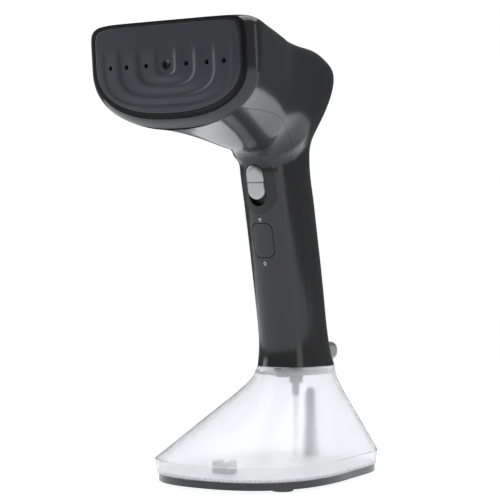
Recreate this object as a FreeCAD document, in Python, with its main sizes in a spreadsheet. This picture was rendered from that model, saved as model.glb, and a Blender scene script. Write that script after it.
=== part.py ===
import FreeCAD, Part
import math
import os
import Sketcher
from FreeCAD import Placement, Rotation, Vector

# Handheld garment steamer that stands on its water tank.
# Frame: millimetres, +Z up, the steam plate faces -Y, X is sideways.
# The origin lies on the floor under the middle of the machine.

doc = FreeCAD.newDocument("GarmentSteamer")
sheet = doc.addObject("Spreadsheet::Sheet", "Sizes")

SIZES = [
    # grip
    ("seam_height", 72.3, "underside of the handset above the floor"),
    ("seam_middle", 53.7, "Y of the grip's middle at the seam"),
    ("grip_lean", 25.0, "how far forward the grip's middle moves from the seam to the neck"),
    ("grip_half_width", 20.6, "half of the grip's X size"),
    ("grip_half_depth", 25.0, "half of the grip's Y size"),
    ("foot_half_width", 22.8, "the same at the seam, where the grip flares"),
    ("foot_half_depth", 28.5, "the same at the seam"),
    ("flare_height", 23.7, "height of the flare above the seam"),
    ("wall", 2.2, "thickness of the moulded shells"),
    ("parting_offset", 8.0, "the shells part this far in front of the grip's middle"),
    ("parting_gap", 0.15, "hairline between two shells"),
    # head
    ("neck_height", 199.5, "height of the point that the neck bends around"),
    ("neck_y", -10.3, "Y of the same point"),
    ("neck_radius", 14.0, "inside radius of the neck"),
    ("head_top", 288.5, "height of the head's top edge at the front"),
    ("head_top_slope", 0.08, "fall of the top towards the rear"),
    ("head_front", -78.8, "Y where the head shells end and the collar starts"),
    ("head_bottom", 222.8, "height of the head's underside at the front"),
    ("head_half_width", 62.8, "half of the head's X size at the front"),
    ("neck_half_width", 40.0, "half of the head's X size above the neck"),
    ("cover_depth", 3.2, "depth of the top cover's rim"),
    # steam plate
    ("plate_y", -91.2, "Y of the plate's face at the row of holes"),
    ("plate_z", 261.4, "height of the row of holes"),
    ("plate_tilt", 5.0, "the plate faces down by this angle in degrees"),
    ("plate_half_width", 54.5, "half of the plate's X size"),
    ("plate_up", 24.6, "plate's edge above the holes"),
    ("plate_down", 29.1, "plate's edge below the holes"),
    ("plate_thickness", 3.2, "steam plate"),
    ("wave_step", 0.35, "height of one step of the plate's waves"),
    ("main_hole_radius", 3.1, "middle steam hole"),
    ("side_hole_radius", 1.5, "other steam holes"),
    ("bezel_side", 3.2, "bezel's edge outside the plate, at the sides"),
    ("bezel_below", 3.4, "the same below the plate"),
    ("bezel_above", 1.9, "the same above the plate"),
    ("bezel_depth", 3.0, "bezel's edge behind the plate's face"),
    ("bezel_length", 5.6, "bezel's own length"),
    ("bezel_lip", 3.0, "length of the bezel's part that is seen from above"),
    ("bezel_step", 2.5, "the rest of the bezel's top lies lower by this much"),
    ("bezel_tuck", 0.5, "the rest of the bezel's sides lie further in by this much"),
    ("collar_side", 8.2, "collar's edge outside the plate, at the sides"),
    ("collar_below", 8.3, "the same below the plate"),
    ("collar_above", 2.4, "the same above the plate"),
    ("collar_depth", 7.7, "collar's widest line behind the plate's face"),
    ("fit_gap", 0.2, "room between pieces that fit in each other"),
    # heater
    ("chamber_inset", 6.5, "heater block's edge inside the plate's edge"),
    ("chamber_depth", 17.0, "heater block"),
    ("gasket_thickness", 1.0, "gasket between block and cover"),
    ("chamber_cover_thickness", 2.6, "heater block's cover"),
    ("element_radius", 3.4, "heating element"),
    ("element_half_width", 30.0, "heating element's legs from the middle"),
    ("element_bend", 12.0, "heating element's bend"),
    ("thermostat_radius", 6.2, "thermostat"),
    ("thermostat_height", 7.0, "thermostat"),
    ("fuse_radius", 2.4, "thermal fuse"),
    ("fuse_length", 20.0, "thermal fuse"),
    ("screw_radius", 1.5, "all screws"),
    ("screw_head_radius", 2.8, "all screws"),
    ("screw_head_height", 2.0, "all screws"),
    ("chamber_screw_length", 14.0, "screws of the heater's cover"),
    # trigger
    ("trigger_height", 191.3, "height of the trigger slot's middle"),
    ("bezel_half_width", 12.7, "trigger bezel"),
    ("bezel_half_height", 19.0, "trigger bezel"),
    ("trigger_half_width", 6.4, "trigger"),
    ("trigger_half_height", 11.4, "trigger"),
    ("trigger_travel", 2.2, "press of the trigger"),
    ("lock_travel", 4.0, "slide of the trigger's lock"),
    ("trigger_proud", 1.6, "trigger stands out of the bezel"),
    ("carrier_half_width", 8.4, "trigger carrier"),
    ("carrier_thickness", 4.0, "trigger carrier"),
    ("carrier_depth", 4.8, "trigger carrier's front behind the grip's front"),
    ("spring_wire", 0.35, "radius of the spring wire"),
    # rocker and board
    ("rocker_height", 155.5, "height of the mode rocker's middle"),
    ("rocker_half_width", 7.6, "mode rocker"),
    ("rocker_half_height", 11.2, "mode rocker"),
    ("rocker_gap", 0.4, "room around the rocker"),
    ("rocker_pivot_depth", 6.0, "rocker's pin behind the grip's front"),
    ("rocker_pin_radius", 1.2, "rocker's pin"),
    ("board_half_width", 16.2, "control board"),
    ("post_x", 14.8, "board's posts from the middle"),
    ("post_radius", 1.8, "board's posts"),
    ("screw_x", 10.5, "grip screws from the middle"),
    ("boss_radius", 3.4, "front bosses of the grip screws"),
    ("board_thickness", 1.6, "control board"),
    ("board_depth", 15.6, "control board's front behind the grip's front"),
    ("lens_radius", 1.6, "icon lenses"),
    # pump
    ("pump_height", 122.0, "height of the pump's middle"),
    ("coil_half_width", 11.0, "pump coil"),
    ("coil_half_height", 13.0, "pump coil"),
    ("bracket_thickness", 1.2, "pump bracket"),
    ("pump_tube_radius", 5.0, "pump tube, outside"),
    ("pump_tube_bore", 3.6, "pump tube, inside"),
    ("pump_tube_half_length", 26.0, "pump tube"),
    ("plunger_radius", 3.55, "pump plunger"),
    ("plunger_length", 22.0, "pump plunger"),
    ("plunger_travel", 3.0, "pump plunger's stroke"),
    ("hose_radius", 3.2, "water hoses, outside"),
    ("hose_bore", 2.0, "water hoses, inside"),
    ("spigot_radius", 1.9, "spigots that the hoses are pushed on"),
    # release button and cord inlet
    ("button_height", 80.8, "height of the release button's middle"),
    ("button_radius", 6.25, "release button's round front"),
    ("button_half_width", 14.5, "release button"),
    ("button_rear", 84.6, "Y of the release button's rearmost line"),
    ("button_travel", 2.4, "press of the release button"),
    ("button_inset", 12.0, "release button's inner face in front of its axis"),
    ("latch_depth", 2.1, "latch nose below the seam"),
    ("cap_thickness", 1.9, "cap that closes the grip's bottom"),
    ("catch_gap", 0.35, "latch nose to the tank's catch"),
    ("bush_height", 103.0, "height of the cord bush"),
    ("bush_radius", 6.0, "cord bush"),
    ("bush_bore", 3.3, "cord bush, inside"),
    ("bush_proud", 7.0, "cord bush stands out of the grip"),
    # tank
    ("tank_wall", 1.8, "tank"),
    ("seam_gap", 0.3, "handset above the tank's rim"),
    ("crease_height", 15.8, "height of the tank's widest line"),
    ("crease_grow", 2.0, "tank's widest line outside the base ring"),
    ("base_middle", 34.2, "Y of the base outline's widest part"),
    ("base_front", 90.7, "base outline's front from its middle"),
    ("base_rear", 57.0, "base outline's rear from its middle"),
    ("base_half_width", 54.2, "half of the base outline at its middle"),
    ("base_flare", 15.0, "how much the front half widens towards the middle"),
    ("base_taper", 7.6, "how much the rear half narrows"),
    ("ring_height", 4.8, "base ring"),
    ("ring_floor", 2.0, "base ring's floor"),
    ("foot_height", 2.0, "rubber feet below the ring"),
    ("foot_radius", 7.0, "rubber feet"),
    ("foot_recess", 1.2, "rubber feet in the ring"),
    ("floor_thickness", 1.8, "tank floor"),
    ("deck_below_seam", 3.2, "tank deck's top below the rim"),
    ("deck_thickness", 1.8, "tank deck"),
    ("valve_radius", 4.6, "outlet valve body"),
    ("valve_bore", 3.3, "outlet valve body, inside"),
    ("valve_stem_radius", 2.1, "outlet valve's stem"),
    ("nipple_radius", 2.7, "tank connector's nipple"),
    ("nipple_depth", 3.8, "nipple below the seam"),
    ("flange_radius", 4.8, "tank connector's flange"),
    ("valve_depth", 5.0, "outlet valve's seat below the deck"),
    ("poppet_radius", 2.4, "outlet valve's poppet"),
    ("poppet_travel", 2.2, "outlet valve's poppet"),
    ("tube_radius", 1.7, "suction tube, outside"),
    ("tube_bore", 1.1, "suction tube, inside"),
    ("tube_gap", 1.5, "suction tube's mouth above the tank floor"),
    ("stopper_radius", 6.2, "filler stopper's cap"),
    ("stopper_hole", 4.4, "filler hole"),
    ("pillar_radius", 3.4, "vent pillar"),
    ("pillar_top", 55.8, "vent pillar"),
]

for row, (alias, value, note) in enumerate(SIZES, start=1):
    sheet.set("A%d" % row, alias)
    sheet.set("B%d" % row, str(value))
    sheet.setAlias("B%d" % row, alias)
    sheet.set("C%d" % row, note)
doc.recompute()


def size(alias):
    return float(getattr(sheet, alias))


OUTLINE_POINTS = 64     # points on one closed outline
GRIP_ROUNDNESS = 2.3    # exponent of the grip's oval section
BIG = 400.0             # longer than the machine
pieces = {}             # node name -> document object


def keep(label, piece):
    piece.Label = label
    pieces[label] = piece
    return piece


def shape_piece(label, shape, placement=None):
    """A sub-part whose shape comes from Part's own functions."""
    piece = doc.addObject("Part::Feature", label)
    piece.Shape = shape
    if placement:
        piece.Placement = placement
    return keep(label, piece)


# ---------------------------------------------------------------- outlines

def signed_power(value, exponent):
    return math.copysign(abs(value) ** exponent, value)


def spline(points, parameters, periodic):
    curve = Part.BSplineCurve()
    curve.interpolate(Points=points, Parameters=parameters, PeriodicFlag=periodic)
    return curve


def skinned(rows):
    """A solid whose side runs smoothly through closed rows of points, with a flat cap at each end."""
    around = [float(number) for number in range(len(rows[0]) + 1)]
    along = [0.0]
    for row, following in zip(rows, rows[1:]):
        along.append(along[-1] + sum((a - b).Length for a, b in zip(row, following)) / len(row))
    row_curves = [spline(row, around, True) for row in rows]
    row_poles = [curve.getPoles() for curve in row_curves]
    column_curves = [spline(list(column), along, False) for column in zip(*row_poles)]
    first, side_first = row_curves[0], column_curves[0]
    surface = Part.BSplineSurface()
    surface.buildFromPolesMultsKnots(
        [curve.getPoles() for curve in column_curves], first.getMultiplicities(),
                                     side_first.getMultiplicities(),
        first.getKnots(), side_first.getKnots(), True, False, first.Degree, side_first.Degree)
    side = surface.toShape()
    faces = [side]
    for row in (rows[0], rows[-1]):
        rim = next(edge for edge in side.Edges
                   if edge.isClosed() and abs(edge.distToShape(Part.Vertex(row[0]))[0]) < 1e-3)
        faces.append(Part.Face(Part.Wire([rim])))
    shell = Part.Shell(faces)
    shell.sewShape()
    solid = Part.makeSolid(shell)
    if solid.Volume < 0:
        solid.reverse()
    return solid


def even_oval(half_width, below, above, lower_round, upper_round):
    """Evenly spaced (x, z) points of an oval that is widest at z = 0, from its top round."""
    fine = []
    steps = 20 * OUTLINE_POINTS
    for step in range(steps):
        angle = 2 * math.pi * step / steps
        across, along = math.sin(angle), math.cos(angle)
        power, height = (lower_round, below) if along < 0 else (upper_round, above)
        reach = (abs(across / half_width) ** power + abs(along / height) ** power) ** (-1.0 / power)
        fine.append((reach * across, reach * along))
    lengths = [0.0]
    for start, end in zip(fine, fine[1:] + fine[:1]):
        lengths.append(lengths[-1] + math.hypot(end[0] - start[0], end[1] - start[1]))
    even, index = [], 0
    for number in range(OUTLINE_POINTS):
        target = lengths[-1] * number / OUTLINE_POINTS
        while lengths[index + 1] < target:
            index += 1
        even.append(fine[index])
    return even


def section(station, inset=0.0):
    """Points of one closed section: X is its width, inner to outer its height."""
    inner, outer, half_width, inner_round, outer_round, widest = station
    run = math.hypot(outer[0] - inner[0], outer[1] - inner[1])
    points = []
    for across, along in even_oval(half_width, run * widest, run * (1 - widest), inner_round, outer_round):
        share = inset / run + (widest + along / run) * (1 - 2 * inset / run)
        y = inner[0] + (outer[0] - inner[0]) * share
        z = inner[1] + (outer[1] - inner[1]) * share
        points.append(Vector(across * (1 - inset / half_width), y, z))
    return points


def between(knots, values, x):
    """Smooth value at x between knots, without overshoot."""
    index = max(i for i in range(len(knots) - 1) if x >= knots[i] or i == 0)

    def secant(i):
        return (values[i + 1] - values[i]) / (knots[i + 1] - knots[i])

    def slope(i):
        if i == 0:
            return secant(0)
        if i == len(knots) - 1:
            return secant(i - 1)
        before, after = secant(i - 1), secant(i)
        return 2 * before * after / (before + after) if before * after > 0 else 0.0

    span = knots[index + 1] - knots[index]
    t = (x - knots[index]) / span
    return ((2 * t ** 3 - 3 * t ** 2 + 1) * values[index]
            + (t ** 3 - 2 * t ** 2 + t) * span * slope(index)
            + (3 * t ** 2 - 2 * t ** 3) * values[index + 1]
            + (t ** 3 - t ** 2) * span * slope(index + 1))


def smooth_step(share):
    return share * share * (3 - 2 * share)


# ---------------------------------------------------------------- the handset's skin

def grip_middle(height):
    """Y of the grip's middle at a height."""
    share = (height - size("seam_height")) / (size("neck_height") - size("seam_height"))
    return size("seam_middle") - size("grip_lean") * (0.8 * share + 0.2 * share * share)


def grip_angle(height):
    """Lean of the grip at a height, in degrees."""
    step = 0.5
    return math.degrees(math.atan2(grip_middle(height - step) - grip_middle(height + step), 2 * step))


def grip_front(height):
    return grip_middle(height) - size("grip_half_depth")


def grip_station(height):
    below = (size("seam_height") + size("flare_height") - height) / size("flare_height")
    flare = min(1.0, max(0.0, below)) ** 2
    half_width = size("grip_half_width") + flare * (size("foot_half_width") - size("grip_half_width"))
    half_depth = size("grip_half_depth") + flare * (size("foot_half_depth") - size("grip_half_depth"))
    middle = grip_middle(height)
    return ((middle - half_depth, height), (middle + half_depth, height),
            half_width, GRIP_ROUNDNESS, GRIP_ROUNDNESS, 0.5)


def top_reach(angle):
    """Distance from the neck point to the head's top plane."""
    rise = (size("head_top") - size("neck_height")
            - size("head_top_slope") * (size("neck_y") - size("head_front") + 8.0))
    return rise / (math.sin(angle) + size("head_top_slope") * math.cos(angle))


# the head's rear outline: angle about the neck point, reach beyond the grip's rear, half width
REAR_ANGLES = (0, 15, 30, 45, 60, 75, 90)
REAR_EXTRA = (0.0, -4.8, 2.8, 32.6)
REAR_WIDTHS = (0.0, 0.0, 5.1, 11.4, 13.8, 16.4, None)


def neck_station(degrees):
    angle = math.radians(degrees)
    grip_rear = grip_middle(size("neck_height")) + size("grip_half_depth") - size("neck_y")
    reaches = [grip_rear + extra for extra in REAR_EXTRA]
    reaches += [top_reach(math.radians(a)) for a in REAR_ANGLES[len(REAR_EXTRA):]]
    widths = [size("grip_half_width") + extra for extra in REAR_WIDTHS[:-1]]
    widths.append(size("neck_half_width"))
    reach = between(REAR_ANGLES, reaches, degrees)
    half_width = between(REAR_ANGLES, widths, degrees)
    turn = degrees / 90.0
    direction = (math.cos(angle), math.sin(angle))
    inner = (size("neck_y") + size("neck_radius") * direction[0],
             size("neck_height") + size("neck_radius") * direction[1])
    outer = (size("neck_y") + reach * direction[0], size("neck_height") + reach * direction[1])
    roundness = GRIP_ROUNDNESS + 3.7 * min(1.0, turn * 1.7)
    return inner, outer, half_width, GRIP_ROUNDNESS, roundness, 0.5 + 0.25 * turn


def head_station(share):
    """From above the neck (0) to the collar (1)."""
    y = size("neck_y") + (size("head_front") - size("neck_y")) * share
    neck_underside = size("neck_height") + size("neck_radius")
    drop = smooth_step(share ** 0.6)
    bottom = neck_underside + (size("head_bottom") - neck_underside) * drop
    top = size("head_top") - size("head_top_slope") * (y - size("head_front") + 8.0)
    half_width = size("neck_half_width") + share * (size("head_half_width") - size("neck_half_width"))
    return (y, bottom), (y, top), half_width, GRIP_ROUNDNESS, 6.0 + 3.0 * share, 0.75 - 0.02 * share


def skin_stations(extra=0.0):
    """Stations from the seam to the collar; extra lengthens both ends."""
    seam = size("seam_height")
    straight = size("neck_height") - seam
    heights = [seam, seam + 0.5 * size("flare_height"), seam + size("flare_height")]
    heights += [seam + straight * share for share in (0.4, 0.58, 0.76, 0.92)]
    stations = [grip_station(height) for height in heights]
    if extra:
        inner, outer, *rest = stations[0]
        stations.insert(0, ((inner[0], seam - extra), (outer[0], seam - extra), *rest))
    stations += [neck_station(degrees) for degrees in (0, 10, 20, 30, 38, 46, 54, 63, 76, 90)]
    stations += [head_station(share) for share in (0.2, 0.4, 0.6, 0.8, 1.0)]
    if extra:
        inner, outer, *rest = stations[-1]
        stations.append(((inner[0] - extra, inner[1]), (outer[0] - extra, outer[1]), *rest))
    return stations


def skin(inset=0.0, extra=0.0):
    return skinned([section(station, inset) for station in skin_stations(extra)])


# ---------------------------------------------------------------- local frames

def grip_frame(height):
    """Origin on the grip's front line: local Y points into the grip, local Z up along it."""
    return Placement(Vector(0, grip_front(height), height),
                     Rotation(Vector(1, 0, 0), grip_angle(height)))


def plate_frame():
    """Origin at the middle steam hole: local Y points into the head, local Z up the plate."""
    return Placement(Vector(0, size("plate_y"), size("plate_z")),
                     Rotation(Vector(1, 0, 0), size("plate_tilt")))


def placed(shape, frame):
    moved = shape.copy()
    moved.Placement = frame.multiply(moved.Placement)
    return moved


def block(x0, x1, y0, y1, z0, z1):
    return Part.makeBox(x1 - x0, y1 - y0, z1 - z0, Vector(x0, y0, z0))


def middle_block(half_x, y0, y1, z0, z1):
    return block(-half_x, half_x, y0, y1, z0, z1)


def rod(radius, start, end):
    start, end = Vector(*start), Vector(*end)
    return Part.makeCylinder(radius, (end - start).Length, start, end - start)


def stadium(half_width, half_height, y0, y1, middle_z=0.0, corner=None):
    """Upright rounded plate in the local XZ plane, from y0 to y1."""
    corner = half_width if corner is None else corner
    plate = middle_block(half_width, y0, y1, middle_z - half_height, middle_z + half_height)
    edges = [edge for edge in plate.Edges
             if abs(edge.Vertexes[0].Point.x - edge.Vertexes[1].Point.x) < 0.01
             and abs(edge.Vertexes[0].Point.z - edge.Vertexes[1].Point.z) < 0.01]
    return plate.makeFillet(corner * 0.999, edges)


def dee(depth, side=0.0, above=0.0, below=0.0):
    """The steam plate's outline in the plate's local frame, grown by side, above and below."""
    oval = even_oval(size("plate_half_width") + side, size("plate_down") + below,
                     size("plate_up") + above, 2.35, 9.0)
    return [Vector(x, depth, z) for x, z in oval]


def dee_plate(y0, y1, side=0.0, above=0.0, below=0.0):
    return skinned([dee(y0 + (y1 - y0) * share, side, above, below) for share in (0, 0.5, 1)])


def pipe(points, radius, bend):
    """A round rod along straight runs that are joined by arcs."""
    points = [Vector(*point) for point in points]
    edges = []
    start = points[0]
    for before, corner, after in zip(points, points[1:], points[2:]):
        into, out = (corner - before).normalize(), (after - corner).normalize()
        turn = into.getAngle(out)
        reach = min(bend * math.tan(turn / 2),
                    0.45 * min((corner - before).Length, (after - corner).Length))
        arc_start, arc_end = corner - into * reach, corner + out * reach
        inward = (out - into).normalize()
        arc_radius = reach / math.tan(turn / 2)
        middle = corner + inward * (arc_radius / math.cos(turn / 2) - arc_radius)
        edges.append(Part.LineSegment(start, arc_start).toShape())
        edges.append(Part.Arc(arc_start, middle, arc_end).toShape())
        start = arc_end
    edges.append(Part.LineSegment(start, points[-1]).toShape())
    circle = Part.Wire([Part.makeCircle(radius, points[0], points[1] - points[0])])
    return Part.Wire(edges).makePipeShell([circle], True, True)


def coil(radius, wire, length, turns, frame):
    """A spring that stands on the frame's origin, along its local Z."""
    helix = Part.makeHelix((length - 2 * wire) / turns, length - 2 * wire, radius)
    circle = Part.Wire([Part.makeCircle(wire, Vector(radius, 0, 0), Vector(0, 1, 0))])
    spring = Part.Wire(helix.Edges).makePipeShell([circle], True, True)
    spring.translate(Vector(0, 0, wire))
    return placed(spring, frame)


# ---------------------------------------------------------------- objects bound to the sheet

def bind(target, expressions):
    for name, expression in expressions.items():
        target.setExpression(name, expression)
    return target


def cell(expression):
    """Sheet names in an expression get the sheet's own prefix."""
    words = sorted({alias for alias, value, note in SIZES if alias in expression}, key=len, reverse=True)
    text, marks = expression, {}
    for number, alias in enumerate(words):
        mark = "@%d@" % number
        if alias in text:
            text = text.replace(alias, mark)
            marks[mark] = "Sizes." + alias
    for mark, name in marks.items():
        text = text.replace(mark, name)
    return text


def cylinder(name, radius, height, frame):
    piece = doc.addObject("Part::Cylinder", name)
    bind(piece, {"Radius": cell(radius), "Height": cell(height)})
    piece.Placement = frame
    return piece


def box(name, width, depth, height, frame):
    """A box whose origin is its corner in the frame."""
    piece = doc.addObject("Part::Box", name)
    bind(piece, {"Length": cell(width), "Width": cell(depth), "Height": cell(height)})
    piece.Placement = frame
    return piece


def cut(name, base, tool):
    piece = doc.addObject("Part::Cut", name)
    piece.Base = base
    piece.Tool = tool
    return piece


def tube(name, radius, bore, length, frame):
    outside = cylinder(name + "_outside", radius, length, frame)
    inside = cylinder(name + "_inside", bore, length, frame)
    return keep(name, cut(name, outside, inside))


def polygon_sketch(body, plane_role, points):
    """A closed polygon whose corners are bound to the sheet; points hold two expressions each."""
    sketch = body.newObject("Sketcher::SketchObject", body.Name + "_profile")
    plane = next(f for f in body.Origin.OriginFeatures if f.Role == plane_role)
    sketch.AttachmentSupport = (plane, [""])
    sketch.MapMode = "FlatFace"
    corners = [Vector(float(evaluate(x)), float(evaluate(y)), 0) for x, y in points]
    for start, end in zip(corners, corners[1:] + corners[:1]):
        sketch.addGeometry(Part.LineSegment(start, end), False)
    count = len(corners)
    for index in range(count):
        sketch.addConstraint(Sketcher.Constraint("Coincident", index, 2, (index + 1) % count, 1))
    for index, (x, y) in enumerate(points):
        for kind, expression, axis in (("DistanceX", x, -2), ("DistanceY", y, -1)):
            value = float(evaluate(expression))
            if abs(value) < 1e-9:
                sketch.addConstraint(Sketcher.Constraint("PointOnObject", index, 1, axis))
            else:
                number = sketch.addConstraint(Sketcher.Constraint(kind, -1, 1, index, 1, value))
                sketch.setExpression("Constraints[%d]" % number, cell(expression))
    return sketch


def evaluate(expression):
    """Value of a sum of sheet names and numbers."""
    total, sign = 0.0, 1.0
    for word in str(expression).replace("+", " + ").replace("-", " - ").split():
        if word in "+-":
            sign = -1.0 if word == "-" else 1.0
        else:
            total += sign * (float(word) if word[0].isdigit() else size(word))
            sign = 1.0
    return total


def turned(label, profile, frame=None):
    """A PartDesign body turned about its local Z; profile holds (radius, height) expressions."""
    body = doc.addObject("PartDesign::Body", label)
    sketch = polygon_sketch(body, "XZ_Plane", profile)
    doc.recompute()
    revolution = body.newObject("PartDesign::Revolution", label + "_turn")
    revolution.Profile = sketch
    revolution.ReferenceAxis = (sketch, ["V_Axis"])
    revolution.Angle = 360
    body.Tip = revolution
    if frame:
        body.Placement = frame
    return keep(label, body)


def padded(label, profile, thickness, frame=None, plane="XY_Plane"):
    """A PartDesign body padded from a polygon."""
    body = doc.addObject("PartDesign::Body", label)
    sketch = polygon_sketch(body, plane, profile)
    doc.recompute()
    pad = body.newObject("PartDesign::Pad", label + "_pad")
    pad.Profile = sketch
    bind(pad, {"Length": cell(thickness)})
    body.Tip = pad
    if frame:
        body.Placement = frame
    return keep(label, body)


# ---------------------------------------------------------------- shells of the handset

skin_solid = skin()
skin_room = skin(size("wall"), 1.5)
skin_wall = skin_solid.cut(skin_room)

front_frame = grip_frame(size("trigger_height") / 2 + size("rocker_height") / 2)
lean_share = math.cos(math.radians(grip_angle(front_frame.Base.z)))
trigger_z = (size("trigger_height") - front_frame.Base.z) / lean_share
rocker_z = (size("rocker_height") - front_frame.Base.z) / lean_share
lens_heights = (rocker_z + size("rocker_half_height") + 2.6, rocker_z - size("rocker_half_height") - 4.3)
plate_place = plate_frame()


def side_profile(points, curved):
    """A prism along X from a profile in YZ: curved points first, then straight ones."""
    curve = Part.BSplineCurve()
    curve.interpolate([Vector(-BIG / 2, y, z) for y, z in curved])
    ends = [Vector(-BIG / 2, y, z) for y, z in (curved[-1], *points, curved[0])]
    edges = [curve.toShape()] + [Part.LineSegment(a, b).toShape() for a, b in zip(ends, ends[1:])]
    return Part.Face(Part.Wire(edges)).extrude(Vector(BIG, 0, 0))


def parting_prism(gap=0.0):
    """All that lies in front of the grip's parting line and below the head's."""
    seam, neck = size("seam_height"), size("neck_height")
    offset = size("parting_offset") - gap
    up = [(grip_middle(z) - offset, z) for z in (seam - 5, 0.5 * (seam + neck), neck)]
    over = [(size("neck_y") + 22.0 + gap, neck + 18.0 + gap),
            (size("neck_y") + 2.0, size("head_bottom") + 7.0 + gap),
            (size("head_front") + 35.0, size("head_bottom") + 12.0 + gap),
            (size("head_front") - 5.0, size("head_bottom") + 12.5 + gap)]
    return side_profile([(-BIG, over[-1][1]), (-BIG, seam - 5)], up + over)


def cover_prism(gap=0.0):
    """All that lies above the top cover's rim."""
    slope = size("head_top_slope")
    rim = [(y, size("head_top") - slope * (y - size("head_front") + 8.0) - size("cover_depth") - gap)
           for y in (-BIG, 0, BIG)]
    return side_profile([(BIG, BIG), (-BIG, BIG)], rim)


front_half = skin_wall.common(parting_prism())
rear_half = skin_wall.cut(parting_prism(size("parting_gap")))
cover = rear_half.common(cover_prism())
rear_half = rear_half.cut(cover_prism(size("parting_gap")))

# --- trigger group, in the front frame
gap = size("fit_gap")
bezel_block = stadium(size("bezel_half_width"), size("bezel_half_height"), -12, 12, trigger_z)
bezel_hole = stadium(size("bezel_half_width") + gap / 2, size("bezel_half_height") + gap / 2, -12, 12,
                     trigger_z)
slot_half_height = size("trigger_half_height") + size("lock_travel") / 2 + 2 * gap
slot_block = stadium(size("trigger_half_width") + 1.5 * gap, slot_half_height, -14, 14, trigger_z)
trigger_middle = trigger_z + size("lock_travel") / 2
bezel = skin_wall.common(placed(bezel_block, front_frame)).cut(placed(slot_block, front_frame))

pill_front = -size("trigger_proud")
pill = stadium(size("trigger_half_width"), size("trigger_half_height"),
               pill_front, size("carrier_depth") - gap, trigger_middle)
front_edges = [edge for edge in pill.Edges if edge.BoundBox.YMax < pill_front + 0.01]
pill = pill.makeFillet(1.3, front_edges)
groove = middle_block(BIG, pill_front - 1, pill_front + 0.5, trigger_middle - 0.4, trigger_middle + 0.4)
stem_half_width, stem_half_height = 2.5, 3.0
carrier_back = size("carrier_depth") + size("carrier_thickness")
stem = middle_block(stem_half_width, size("carrier_depth") - gap, carrier_back - 0.3,
                    trigger_middle - stem_half_height, trigger_middle + stem_half_height)
trigger_solid = pill.cut(groove).fuse(stem)

carrier = stadium(size("carrier_half_width"), size("bezel_half_height") - 2.0,
                  size("carrier_depth"), carrier_back, trigger_z, 5.0)
carrier_slot = middle_block(stem_half_width + gap, size("carrier_depth") - 1, carrier_back + 1,
                            trigger_middle - stem_half_height - size("lock_travel") - gap,
                            trigger_middle + stem_half_height + gap)
carrier = carrier.cut(carrier_slot)

# --- mode rocker, in the front frame
rocker_corner = 4.5
rocker_block = stadium(size("rocker_half_width"), size("rocker_half_height"), -12, 9, rocker_z,
                       rocker_corner)
rocker_hole = stadium(size("rocker_half_width") + size("rocker_gap"),
                      size("rocker_half_height") + size("rocker_gap"), -12, 12, rocker_z, rocker_corner)
pin_depth, pin_radius = size("rocker_pivot_depth"), size("rocker_pin_radius")
hub_half_width = size("rocker_half_width") - 0.4
ear_inside, ear_outside = hub_half_width + 0.8, hub_half_width + 3.0
rocker_plate = skin_wall.common(placed(rocker_block, front_frame))
hub = middle_block(hub_half_width, 3.0, pin_depth + 1.6, rocker_z - 2.8, rocker_z + 2.8)
pins = rod(pin_radius, (-ear_outside + 0.3, pin_depth, rocker_z), (ear_outside - 0.3, pin_depth, rocker_z))
pad_reach = 7.5
pads = [middle_block(2.2, 1.5, 9.0, rocker_z + side * pad_reach - 1.5, rocker_z + side * pad_reach + 1.5)
        for side in (-1, 1)]
rocker = rocker_plate.fuse([placed(shape, front_frame) for shape in (hub, pins, *pads)])

ears = []
for side in (-1, 1):
    ear = block(*sorted((side * ear_inside, side * ear_outside)), 2.6, pin_depth + 2.6,
                rocker_z - 3.2, rocker_z + 3.2)
    ears.append(ear.cut(rod(pin_radius + 0.08, (-20, pin_depth, rocker_z), (20, pin_depth, rocker_z))))

# --- board, its switches and posts, in the front frame
board_front, board_back = size("board_depth"), size("board_depth") + size("board_thickness")
board_bottom, board_top = lens_heights[1] - 4.0, trigger_z + size("bezel_half_height") - 3.0
screw_z = lens_heights[1] + 0.6
post_x = size("post_x")
posts = [rod(size("post_radius"), (side * post_x, 2.0, z), (side * post_x, board_front, z))
         for side in (-1, 1) for z in (board_top - 3.0, lens_heights[0], board_bottom + 3.0)]

# --- screws that hold the rear shell, in the front frame
grip_depth = 2 * size("grip_half_depth")
boss_radius = size("boss_radius")
parting_depth = size("grip_half_depth") - size("parting_offset")
front_bosses, rear_bosses, screw_holes, screw_wells, grip_screws = [], [], [], [], []
for side in (-1, 1):
    x = side * size("screw_x")
    head_seat = grip_depth - 9.0
    front_bosses.append(rod(boss_radius, (x, 2.0, screw_z), (x, parting_depth - 1.0, screw_z)))
    rear_bosses.append(rod(boss_radius + 1.0, (x, parting_depth + 1.0, screw_z),
                           (x, grip_depth - 3.0, screw_z)))
    screw_holes.append(rod(size("screw_radius") + 0.05, (x, 7.0, screw_z), (x, grip_depth, screw_z)))
    screw_wells.append(rod(size("screw_head_radius") + 0.3, (x, head_seat, screw_z),
                           (x, grip_depth + 9, screw_z)))
    shank = rod(size("screw_radius"), (x, 8.0, screw_z), (x, head_seat + 0.1, screw_z))
    head = rod(size("screw_head_radius"), (x, head_seat, screw_z),
               (x, head_seat + size("screw_head_height"), screw_z))
    grip_screws.append(placed(shank.fuse(head), front_frame))

# --- underside plug, a long oval cap below the head
plug_frame = Placement(Vector(0, size("head_front") + 9.0, size("head_bottom")),
                       Rotation(Vector(1, 0, 0), 90))
plug = skin_wall.common(placed(stadium(13.0, 4.2, -12, 12, 0, 4.1), plug_frame))
plug_hole = placed(stadium(13.0 + gap / 2, 4.2 + gap / 2, -12, 12, 0, 4.1), plug_frame)

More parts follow.
